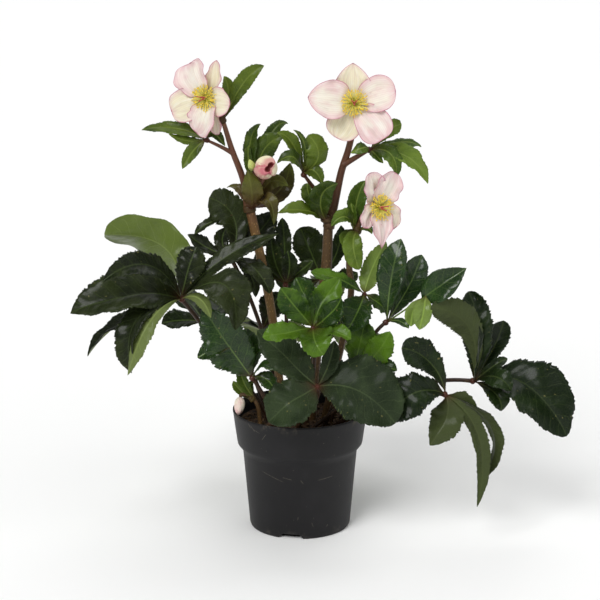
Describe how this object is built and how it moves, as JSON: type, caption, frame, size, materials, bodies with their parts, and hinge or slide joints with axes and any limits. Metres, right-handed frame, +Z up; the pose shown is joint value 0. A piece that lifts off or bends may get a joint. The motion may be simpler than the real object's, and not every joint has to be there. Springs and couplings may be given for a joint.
{
  "type": "potted hellebore plant",
  "caption": "Hellebore in a black nursery pot: leathery fingered leaves on reddish petioles, and leafy stems with open cream and pink blooms, buds and green bracts.",
  "frame": {"origin": "centre of the pot's flat underside, which it stands on", "axes": "+Z up along the pot's axis; -Y is the side that the open blooms look towards; +X to the right seen from there"},
  "size_m": [0.4673, 0.3052, 0.4564],
  "materials": {
    "pot": "matte",
    "soil": "matte",
    "petiole": "satin",
    "leaf_dark": "satin",
    "leaf_gloss": "satin",
    "leaf_bright": "satin",
    "stem": "satin",
    "bract": "satin",
    "sepal": "matte",
    "stamen": "matte",
    "pistil": "matte",
    "bud": "matte",
    "bud_pale": "matte"
  },
  "bodies": {
    "root": {"pot": "pot", "soil": "soil", "petiole_west": "petiole", "leaf_west": "leaf_dark", "petiole_north_west": "petiole", "leaf_north_west": "leaf_dark", "petiole_south_west": "petiole", "leaf_south_west": "leaf_dark", "petiole_front": "petiole", "leaf_front": "leaf_dark", "petiole_young": "petiole", "leaf_young": "leaf_bright", "petiole_east_young": "petiole", "leaf_east_young": "leaf_bright", "petiole_east_gloss": "petiole", "leaf_east_gloss": "leaf_gloss", "petiole_far_east": "petiole", "leaf_far_east": "leaf_dark", "petiole_south_east": "petiole", "leaf_south_east": "leaf_dark", "petiole_east_low": "petiole", "leaf_east_low": "leaf_bright", "petiole_north": "petiole", "leaf_north": "leaf_dark", "petiole_inner": "petiole", "leaf_inner": "leaf_dark", "petiole_west_back": "petiole", "leaf_west_back": "leaf_dark", "petiole_back_left": "petiole", "leaf_back_left": "leaf_dark", "petiole_back_right": "petiole", "leaf_back_right": "leaf_dark", "petiole_back_east": "petiole", "leaf_back_east": "leaf_dark", "stem_west": "stem", "stem_middle": "stem", "stem_east": "stem", "stem_low": "stem", "bracts_fork_west": "bract", "bracts_bud_west": "bract", "bracts_upper": "bract", "bracts_fork_middle": "bract", "bracts_bloom_middle": "bract", "bracts_right": "bract", "bracts_bloom_left": "bract", "bracts_collar_left": "bract", "bracts_low": "bract", "sepals_left": "sepal", "stamens_left": "stamen", "pistil_left": "pistil", "sepals_middle": "sepal", "stamens_middle": "stamen", "pistil_middle": "pistil", "sepals_right": "sepal", "stamens_right": "stamen", "pistil_right": "pistil", "bud_west": "bud", "bud_small": "bud_pale", "bud_low": "bud"}
  },
  "joints": []
}
